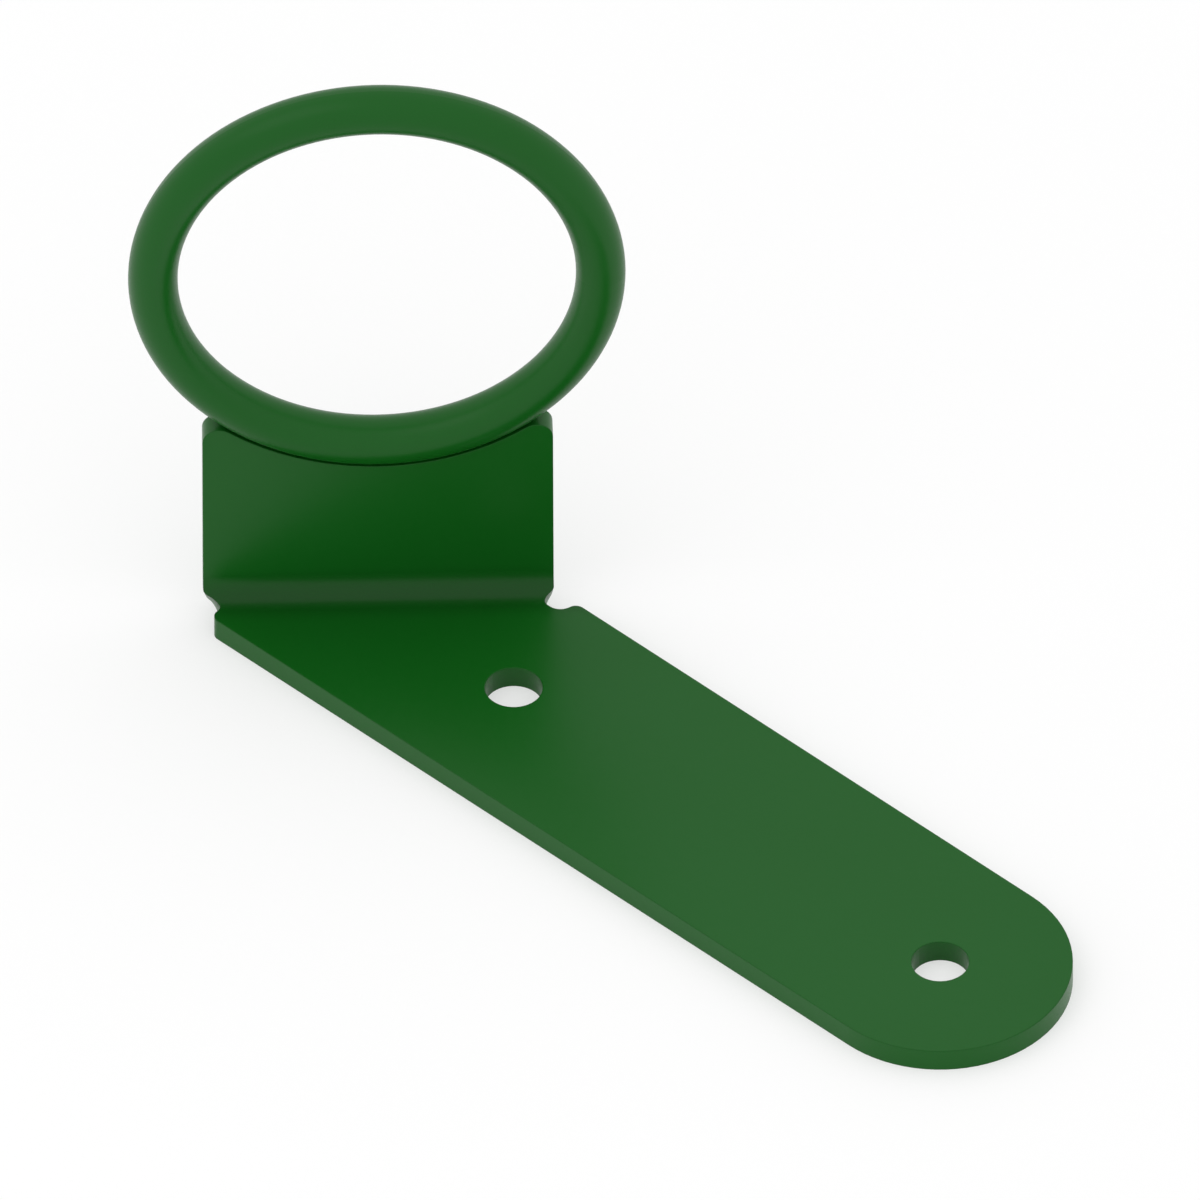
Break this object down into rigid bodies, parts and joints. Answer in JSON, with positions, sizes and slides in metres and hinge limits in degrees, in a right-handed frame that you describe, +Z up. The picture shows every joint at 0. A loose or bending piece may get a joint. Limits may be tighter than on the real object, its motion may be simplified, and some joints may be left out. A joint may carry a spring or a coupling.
{
  "type": "hose hanger",
  "caption": "Steel bracket bolted down through a flat strap, its diagonal tab folded up to carry a welded ring that a hose is led through",
  "frame": {"origin": "midway between the centres of the two bolt holes, on the strap's underside, which lies on whatever the bracket is bolted to", "axes": "+X along the strap towards its round end, +Y to the left of that when seen from above, +Z up out of the mounting surface; the tab and ring stand up near the -X end, facing diagonally between +X and -Y"},
  "size_m": [0.2122, 0.0701, 0.1328],
  "materials": {
    "green_paint": "smooth semi-gloss paint or powder coat over steel, plate, ring and weld alike"
  },
  "bodies": {
    "root": {"bracket_plate": "green_paint", "hose_ring": "green_paint", "ring_weld": "green_paint"}
  },
  "joints": []
}
